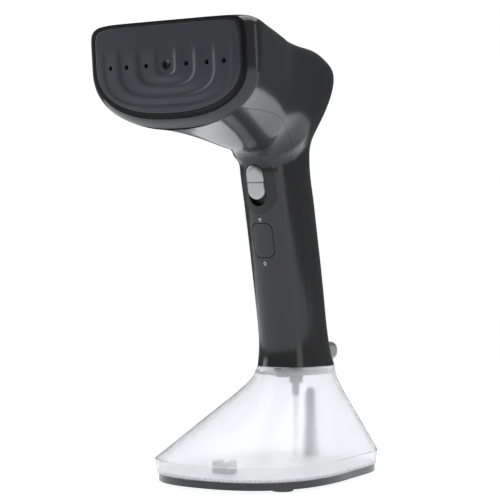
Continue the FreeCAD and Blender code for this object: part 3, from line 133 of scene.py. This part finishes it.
softbox("right_box", (1.35, -0.42, 0.15), (0, 0, 0.15), width=0.5, height=1.5, power=3.6)
softbox("left_box", (-1.3, -0.6, 0.6), (0, 0, 0.18), width=0.6, height=1.0, power=6.0)
softbox("top_box", (0.1, 0.1, 1.9), (0, 0, 0.1), width=2.4, height=2.4, power=62.0)
print(len(bpy.data.lights), "lamps")

# %% [markdown]
# The room is white where the camera sees it, straight or through the clear tank, and dim
# for every other ray. The background is then white without washing out the dark plastic.

# %% The room's own light
BRIGHT, DIM = 1.0, 0.1
room = bpy.data.worlds.new("room")
room.use_nodes = True
air = room.node_tree
backdrop = air.nodes["Background"]
backdrop.inputs["Color"].default_value = (1.0, 1.0, 1.0, 1)
backdrop.inputs["Strength"].default_value = BRIGHT
dim_room = air.nodes.new("ShaderNodeBackground")
dim_room.inputs["Color"].default_value = (0.95, 0.97, 1.0, 1)
dim_room.inputs["Strength"].default_value = DIM
seen_straight = air.nodes.new("ShaderNodeLightPath")
choice = air.nodes.new("ShaderNodeMixShader")
either = air.nodes.new("ShaderNodeMath")
either.operation = "MAXIMUM"
air.links.new(seen_straight.outputs["Is Camera Ray"], either.inputs[0])
air.links.new(seen_straight.outputs["Is Transmission Ray"], either.inputs[1])
air.links.new(either.outputs["Value"], choice.inputs["Fac"])
air.links.new(dim_room.outputs["Background"], choice.inputs[1])
air.links.new(backdrop.outputs["Background"], choice.inputs[2])
air.links.new(choice.outputs["Shader"], air.nodes["World Output"].inputs["Surface"])
bpy.context.scene.world = room
bpy.context.scene.view_settings.view_transform = "Standard"
print("the room is", BRIGHT, "bright to camera and transmission rays,", DIM, "to the rest")

# %% [markdown]
# Every finish starts from the same recipe. Even a clean moulding varies a little in colour
# and gloss, and its skin is never perfectly flat. So noise drives the colour between two
# close tones, more noise drives the roughness, and a fine bump gives the skin its texture.
# What is the same all over is set straight on the shader.

# %% A recipe for finishes
def finish(name, dark, light, rough, grain=180.0, bump=0.02, patch=14.0, stretch=(1, 1, 1), **fixed):
    """A material whose colour runs between two tones and whose roughness between two values."""
    material = bpy.data.materials.new(name)
    material.use_nodes = True
    tree = material.node_tree
    shader = tree.nodes["Principled BSDF"]
    place = tree.nodes.new("ShaderNodeTexCoord")
    mapping = tree.nodes.new("ShaderNodeMapping")
    mapping.inputs["Scale"].default_value = stretch
    tree.links.new(place.outputs["Object"], mapping.inputs["Vector"])
    cloud = tree.nodes.new("ShaderNodeTexNoise")
    cloud.inputs["Scale"].default_value = patch
    cloud.inputs["Detail"].default_value = 4.0
    tree.links.new(mapping.outputs["Vector"], cloud.inputs["Vector"])
    tones = tree.nodes.new("ShaderNodeValToRGB")
    tones.color_ramp.elements[0].position, tones.color_ramp.elements[1].position = 0.3, 0.7
    tones.color_ramp.elements[0].color = (*dark, 1)
    tones.color_ramp.elements[1].color = (*light, 1)
    tree.links.new(cloud.outputs["Fac"], tones.inputs["Fac"])
    tree.links.new(tones.outputs["Color"], shader.inputs["Base Color"])
    skin = tree.nodes.new("ShaderNodeTexNoise")
    skin.inputs["Scale"].default_value = grain
    skin.inputs["Detail"].default_value = 3.0
    tree.links.new(mapping.outputs["Vector"], skin.inputs["Vector"])
    gloss = tree.nodes.new("ShaderNodeMapRange")
    gloss.inputs["To Min"].default_value, gloss.inputs["To Max"].default_value = rough
    tree.links.new(skin.outputs["Fac"], gloss.inputs["Value"])
    tree.links.new(gloss.outputs["Result"], shader.inputs["Roughness"])
    relief = tree.nodes.new("ShaderNodeBump")
    relief.inputs["Strength"].default_value = bump
    relief.inputs["Distance"].default_value = 0.0004
    tree.links.new(skin.outputs["Fac"], relief.inputs["Height"])
    tree.links.new(relief.outputs["Normal"], shader.inputs["Normal"])
    for socket, value in fixed.items():
        shader.inputs[socket.replace("_", " ")].default_value = value
    return material


def give(material, *names):
    """Puts the material on whole parts of the frame."""
    for name in names:
        part = nodes[name]
        part.data.materials.clear()
        part.data.materials.append(material)
    print(material.name, "on", ", ".join(names))


# %% [markdown]
# The handset's shells are a glossy graphite moulding. The colour is a dark neutral grey and
# the gloss comes from a clear coat over a slightly softer base, which gives the sharp lamp
# reflections with a faint haze around them.

# %% Shells and trim
graphite = finish("gloss_graphite", (0.026, 0.026, 0.0265), (0.031, 0.031, 0.032), (0.15, 0.2),
                  grain=900.0, bump=0.015, Specular_IOR_Level=0.32, Coat_Weight=0.16, Coat_Roughness=0.05)
give(graphite, "front_shell", "rear_shell", "top_cover", "underside_plug", "mode_rocker", "head_collar")
trim_black = finish("gloss_black_trim", (0.012, 0.012, 0.013), (0.017, 0.017, 0.018), (0.22, 0.3),
                    grain=700.0, bump=0.02, Coat_Weight=0.2, Coat_Roughness=0.1)
give(trim_black, "soleplate_bezel", "base_ring")
slot_black = finish("satin_black_bezel", (0.006, 0.006, 0.006), (0.01, 0.01, 0.01), (0.34, 0.42), grain=900.0)
give(slot_black, "trigger_bezel")
inner_black = finish("moulded_black", (0.014, 0.014, 0.015), (0.022, 0.022, 0.023), (0.45, 0.6),
                     grain=500.0, bump=0.06)
give(inner_black, "button_bracket", "chamber_frame", "bottom_cap", "cord_bush", "microswitch",
     "rocker_switches", "stopper_tab", "trigger_carrier")

# %% [markdown]
# The steam plate is aluminium under a blue-grey ceramic coat. It is satin: smooth enough to
# hold a soft highlight, with a fine speckle in the coat.

# %% The steam plate's coat
plate_coat = finish("ceramic_coat", (0.042, 0.05, 0.056), (0.05, 0.059, 0.066), (0.32, 0.42), grain=1600.0,
                    bump=0.05, patch=25.0, Metallic=0.25)

# %% [markdown]
# The plate's face is not flat: soft crests run in a U round the middle hole, one outside the
# other, and fade out above the row of holes. Each crest rises steeply on its inner side and
# falls away gently outwards. No edit-mode operator gives such a relief, so the face is laid
# out as rings of points from the middle to the rim, and each point gets its height from how
# far out its own U lies. The steam holes are then drilled with a Boolean modifier.

# %% The outline of the plate
MM = 0.001
HALF_WIDTH, DOWN, UP = 54.5, 29.1, 24.6
ROUND_BELOW, SQUARE_ABOVE = 2.35, 9.0
FACE, BACK = 1.05, 3.2
CRESTS = (8.0, 22.5, 37.0, 49.0)
CREST_HEIGHT, OUTER_SHARE = 0.65, 0.45
STEEP_SIDE, GENTLE_SIDE = 1.7, 7.0
FADE_FROM, FADE_OVER, RIM_SHARE = 2.0, 12.0, 0.08
U_BEND, U_BOTTOM, U_SLOPE = 3.0, 3.1, 0.445


def rim_reach(angle):
    """Distance from the middle hole to the plate's edge, in mm; angle 0 points up."""
    across, along = math.sin(angle), math.cos(angle)
    power, height = (ROUND_BELOW, DOWN) if along < 0 else (SQUARE_ABOVE, UP)
    return (abs(across / HALF_WIDTH) ** power + abs(along / height) ** power) ** (-1.0 / power)


def u_width(x, z):
    """Half width of the U that a point lies on."""
    if z >= 0:
        return abs(x)
    low, high = 0.01, 90.0
    for _ in range(30):
        middle = (low + high) / 2
        deep = U_BOTTOM + U_SLOPE * middle
        if (abs(x) / middle) ** U_BEND + (abs(z) / deep) ** U_BEND > 1:
            low = middle
        else:
            high = middle
    return high


def crest(x, z):
    """Height of the relief above the plate's face, in mm."""
    width = u_width(x, z)
    height = 0.0
    for at in CRESTS:
        spread = STEEP_SIDE if width < at else GENTLE_SIDE
        top = CREST_HEIGHT * (OUTER_SHARE if at == CRESTS[-1] else 1.0)
        height = max(height, top * math.exp(-((width - at) / spread) ** 2))
    fade = min(1.0, max(0.0, (z - FADE_FROM) / FADE_OVER))
    edge = min(1.0, (1.0 - math.hypot(x, z) / rim_reach(math.atan2(x, z))) / RIM_SHARE)
    return height * (1 - fade * fade * (3 - 2 * fade)) * max(0.0, edge)


print("rim at the side", round(rim_reach(math.pi / 2), 1), "mm; tallest crest", CREST_HEIGHT, "mm")

# %% The plate's body
AROUND, RINGS = 192, 72
PLATE_Y, PLATE_Z, PLATE_TILT = -91.2 * MM, 261.4 * MM, 5.0
points, faces = [(0.0, FACE - crest(0.0, 0.001), 0.0)], []
angles = [2 * math.pi * step / AROUND for step in range(AROUND)]
shares = [ring / RINGS for ring in range(1, RINGS)] + [0.994, 1.0]
drops = [0.0] * (RINGS - 1) + [0.1, 0.4]
for share, drop in zip(shares, drops):
    for angle in angles:
        x, z = share * rim_reach(angle) * math.sin(angle), share * rim_reach(angle) * math.cos(angle)
        points.append((x, FACE - crest(x, z) + drop, z))
for angle in angles:
    points.append((rim_reach(angle) * math.sin(angle), BACK, rim_reach(angle) * math.cos(angle)))
for step in range(AROUND):
    faces.append((0, 1 + step, 1 + (step + 1) % AROUND))
for ring in range(len(shares)):
    first = 1 + ring * AROUND
    for step in range(AROUND):
        beside = (step + 1) % AROUND
        faces.append((first + step, first + AROUND + step, first + AROUND + beside, first + beside))
faces.append(tuple(range(len(points) - AROUND, len(points))))
steam_plate = bpy.data.objects.new("steam_plate", bpy.data.meshes.new("steam_plate"))
bpy.context.scene.collection.objects.link(steam_plate)
tilt = Matrix.Translation((0, PLATE_Y, PLATE_Z)) @ Matrix.Rotation(math.radians(PLATE_TILT), 4, "X")
steam_plate.data.from_pydata([tilt @ (Vector(point) * MM) for point in points], [], faces)
print(len(points), "points,", len(faces), "faces")


# %% Drill the steam holes
def only(piece):
    """Selects one piece and nothing else."""
    bpy.ops.object.select_all(action="DESELECT")
    piece.select_set(True)
    bpy.context.view_layer.objects.active = piece


def outward(piece):
    """Turns every face of a closed piece outwards."""
    only(piece)
    bpy.ops.object.mode_set(mode="EDIT")
    bpy.ops.mesh.select_all(action="SELECT")
    bpy.ops.mesh.normals_make_consistent(inside=False)
    bpy.ops.object.mode_set(mode="OBJECT")


MIDDLE_HOLE, SIDE_HOLE = 3.1 * MM, 1.5 * MM
HOLE_STEPS = (15.1, 30.3, 42.7)
holes = [(0.0, MIDDLE_HOLE)] + [(side * step, SIDE_HOLE) for step in HOLE_STEPS for side in (1, -1)]
outward(steam_plate)
for across, radius in holes:
    bpy.ops.object.select_all(action="DESELECT")
    bpy.ops.mesh.primitive_cylinder_add(vertices=40, radius=radius, depth=12 * MM,
                                        location=tilt @ Vector((across * MM, 1.5 * MM, 0)),
                                        rotation=(math.radians(90.0 + PLATE_TILT), 0, 0))
    drill = bpy.context.object
    only(steam_plate)
    hole = steam_plate.modifiers.new("hole", "BOOLEAN")
    hole.object, hole.operation, hole.solver = drill, "DIFFERENCE", "EXACT"
    bpy.ops.object.modifier_apply(modifier="hole")
    bpy.data.objects.remove(drill)
bpy.ops.object.shade_smooth_by_angle(angle=math.radians(35))
steam_plate.data.materials.clear()
steam_plate.data.materials.append(plate_coat)
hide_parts("soleplate")
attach(steam_plate, "handset")
print("steam plate has", len(steam_plate.data.polygons), "faces")

# %% [markdown]
# The trigger and the release button are painted silver. Metallic paint has a fine flake, so
# its roughness changes from grain to grain. The two small lenses below the trigger are
# smoked plastic, and the signs on them are white ink.

# %% Silver paint, white ink and smoked lenses
silver = finish("silver_paint", (0.36, 0.36, 0.37), (0.44, 0.44, 0.45), (0.26, 0.36), grain=2600.0, bump=0.05,
                Metallic=0.75)
give(silver, "trigger", "release_button")
sign_white = finish("sign_white", (0.7, 0.7, 0.7), (0.8, 0.8, 0.8), (0.3, 0.4), grain=600.0)
lens_dark = finish("smoked_lens", (0.02, 0.02, 0.021), (0.028, 0.028, 0.029), (0.1, 0.16), grain=600.0)
give(lens_dark, "icon_lenses")

# %% [markdown]
# The tank is blow-moulded from clear plastic and left frosted, so it lets light through but
# blurs what is behind it. Transmission with a rough surface does this, and a little white
# scattering in the wall keeps it from looking like glass.

# %% The frosted tank
frost = finish("frosted_tank", (0.93, 0.94, 0.95), (0.96, 0.97, 0.98), (0.17, 0.23), grain=800.0, bump=0.04,
               Transmission_Weight=0.84, IOR=1.18)
give(frost, "tank_shell", "tank_deck", "suction_tube")
milk = finish("milky_floor", (0.82, 0.84, 0.85), (0.88, 0.9, 0.91), (0.3, 0.4), grain=600.0,
              Transmission_Weight=0.25)
give(milk, "tank_floor")
tank_grey = finish("tank_fittings", (0.2, 0.21, 0.22), (0.26, 0.27, 0.28), (0.4, 0.5))
give(tank_grey, "filler_stopper", "vent_pillar", "outlet_valve", "valve_poppet", "snap_block")
foot_rubber = finish("foot_rubber", (0.08, 0.08, 0.085), (0.11, 0.11, 0.115), (0.75, 0.9),
                     grain=400.0, bump=0.2)
give(foot_rubber, "rubber_feet")

# %% [markdown]
# The works inside hardly show, but each still gets the finish of its real material: cast
# aluminium, bright steel, copper, green board, silicone and nylon.

# %% The works inside
cast = finish("cast_aluminium", (0.42, 0.42, 0.43), (0.55, 0.55, 0.56), (0.4, 0.6),
              grain=300.0, bump=0.3, Metallic=1.0)
give(cast, "steam_chamber", "chamber_cover")
steel = finish("bright_steel", (0.5, 0.5, 0.51), (0.6, 0.6, 0.61), (0.2, 0.32),
               grain=900.0, stretch=(1, 1, 0.1), Metallic=1.0)
give(steel, "heating_element", "chamber_screws", "grip_screws", "pump_bracket", "button_spring",
     "trigger_springs", "pump_spring", "valve_spring", "water_inlet", "thermal_fuse", "pump_plunger",
     "thermostat")
winding = finish("copper_winding", (0.42, 0.17, 0.07), (0.55, 0.25, 0.1), (0.3, 0.45), grain=900.0,
                 stretch=(0.1, 0.1, 1), bump=0.4, Metallic=0.8)
give(winding, "pump_coil")
board_green = finish("solder_mask", (0.015, 0.09, 0.03), (0.03, 0.13, 0.05), (0.25, 0.4),
                     grain=300.0, bump=0.1)
give(board_green, "control_board")
clear_silicone = finish("clear_silicone", (0.6, 0.6, 0.58), (0.7, 0.7, 0.68), (0.35, 0.5),
                        Transmission_Weight=0.3)
give(clear_silicone, "upper_hose", "lower_hose", "nipple_seal")
red_silicone = finish("red_silicone", (0.3, 0.03, 0.02), (0.4, 0.06, 0.04), (0.4, 0.6))
give(red_silicone, "chamber_gasket", "heater_leads")
nylon = finish("white_nylon", (0.62, 0.62, 0.6), (0.7, 0.7, 0.68), (0.4, 0.55))
give(nylon, "pump_tube", "pump_inlet", "tank_connector")

# %% [markdown]
# The trigger is a rounded pill that a fingertip rests on. Its front is domed and has one
# groove across its whole width. A cylinder is pulled out into a pill, and its front face is
# inset and pushed out in steps to make the dome. The pill is then cut across its middle, the
# cut is widened by a bevel, and the row in the middle of the bevel is sunk to make the groove.

# %% The grip's own frame
GRIP_Y, GRIP_Z, GRIP_TILT = 9.645 * MM, 173.4 * MM, 12.392
TRIGGER_Z, STEAM_SIGN_Z, POWER_SIGN_Z = 20.327, -4.527, -33.827
grip_place = Matrix.Translation((0, GRIP_Y, GRIP_Z)) @ Matrix.Rotation(math.radians(GRIP_TILT), 4, "X")


def settle(piece, place, material, body, slot_name, *replaced):
    """Puts a finished piece in its place with its own origin at the machine's, and lets it ride."""
    piece.data.transform(place @ piece.matrix_world)
    piece.matrix_world = Matrix.Identity(4)
    outward(piece)
    bpy.ops.object.shade_smooth_by_angle(angle=math.radians(40))
    piece.data.materials.clear()
    piece.data.materials.append(material)
    if replaced:
        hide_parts(*replaced)
    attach(piece, body)
    print(piece.name, "has", len(piece.data.polygons), "faces")


# %% Pull a cylinder out into a pill and dome its front
PILL_SIDES, PILL_RADIUS, PILL_DEPTH = 64, 6.4 * MM, 4.8 * MM
PILL_STRAIGHT, PILL_SINK = 5.0 * MM, 2.2 * MM
DOME_STEPS = ((0.25, 0.42), (0.4, 0.28), (0.7, 0.18), (1.1, 0.1), (1.4, 0.05))
half_step = math.radians(180 / PILL_SIDES)
bpy.ops.object.select_all(action="DESELECT")
bpy.ops.mesh.primitive_cylinder_add(vertices=PILL_SIDES, radius=PILL_RADIUS, depth=PILL_DEPTH,
                                    rotation=(math.radians(90), half_step, 0))
pill = bpy.context.object
pill.name = "trigger_pill"
bpy.ops.object.transform_apply(location=False, rotation=True, scale=False)
for vertex in pill.data.vertices:
    vertex.co.z += math.copysign(PILL_STRAIGHT, vertex.co.z)
    vertex.co.y += PILL_SINK
bpy.ops.object.mode_set(mode="EDIT")
bpy.ops.mesh.select_mode(type="FACE")
bpy.ops.mesh.select_all(action="DESELECT")
bpy.ops.object.mode_set(mode="OBJECT")
for polygon in pill.data.polygons:
    polygon.select = polygon.normal.y < -0.9
bpy.ops.object.mode_set(mode="EDIT")
for inward, forward in DOME_STEPS:
    bpy.ops.mesh.inset(thickness=inward * MM, depth=0.0)
    bpy.ops.transform.translate(value=(0, -forward * MM, 0))
bpy.ops.object.mode_set(mode="OBJECT")
print("the dome stands", round(sum(forward for _, forward in DOME_STEPS), 2), "mm proud")

# %% Cut the groove across the trigger
GROOVE_HALF_WIDTH, GROOVE_DEPTH, HAIR = 0.4 * MM, 0.45 * MM, 0.01 * MM
bpy.ops.object.mode_set(mode="EDIT")
bpy.ops.mesh.select_all(action="SELECT")
bpy.ops.mesh.bisect(plane_co=(0, 0, 0), plane_no=(0, 0, 1))
bpy.ops.mesh.bevel(offset=GROOVE_HALF_WIDTH, segments=2)
bpy.ops.object.mode_set(mode="OBJECT")
back = max(vertex.co.y for vertex in pill.data.vertices)
for vertex in pill.data.vertices:
    if abs(vertex.co.z) < HAIR and vertex.co.y < back - HAIR:
        if abs(vertex.co.x) > PILL_RADIUS - GROOVE_HALF_WIDTH:
            vertex.co.x -= math.copysign(GROOVE_DEPTH, vertex.co.x)
        vertex.co.y += GROOVE_DEPTH
trigger_place = grip_place @ Matrix.Translation((0, 0, TRIGGER_Z * MM))
settle(pill, trigger_place, silver, "trigger", "silver_plastic", "trigger")

# %% [markdown]
# Two small white signs tell what the rocker does: a ring with a stub below it, and a fan of
# three short strokes above a dot for the steam. They are printed on the lenses, so they stand
# out by only about a tenth of a millimetre. Both are generic signs.

# %% The two signs
INK = 0.16


def stroke(length, width, centre, lean):
    """A short rounded bar on the grip's front, as thick as the ink."""
    bpy.ops.object.select_all(action="DESELECT")
    bpy.ops.mesh.primitive_uv_sphere_add(segments=20, ring_count=12, radius=0.5 * MM)
    bar = bpy.context.object
    spin = Matrix.Rotation(math.radians(lean), 4, "Y")
    size = Matrix.Diagonal((width, INK, length, 1.0))
    bar.data.transform(Matrix.Translation(Vector(centre) * MM) @ spin @ size)
    return bar


def sign(name, parts, depth, height):
    """Joins the strokes and puts them on the grip."""
    bpy.ops.object.select_all(action="DESELECT")
    for part in parts:
        part.select_set(True)
    bpy.context.view_layer.objects.active = parts[0]
    bpy.ops.object.join()
    joined = bpy.context.object
    joined.name = name
    sign_place = grip_place @ Matrix.Translation((0, depth * MM, height * MM))
    settle(joined, sign_place, sign_white, "handset", "icon_white")


fan = [stroke(1.5, 0.42, (0, 0, 0.55), 0), stroke(1.4, 0.42, (0.8, 0, 0.4), 32),
       stroke(1.4, 0.42, (-0.8, 0, 0.4), -32), stroke(0.9, 0.8, (0, 0, -0.85), 0)]
sign("steam_sign", fan, -0.02, STEAM_SIGN_Z)
bpy.ops.object.select_all(action="DESELECT")
bpy.ops.mesh.primitive_torus_add(major_radius=0.85 * MM, minor_radius=0.2 * MM, major_segments=40,
                                 minor_segments=10, rotation=(math.radians(90), 0, 0))
ring = bpy.context.object
flatten = Matrix.Diagonal((1, 0.4, 1, 1))
ring.data.transform(Matrix.Translation((0, 0, 0.35 * MM)) @ flatten @ ring.matrix_world)
ring.matrix_world = Matrix.Identity(4)
sign("power_sign", [ring, stroke(1.3, 0.5, (0, 0, -0.95), 0)], -0.35, POWER_SIGN_Z)
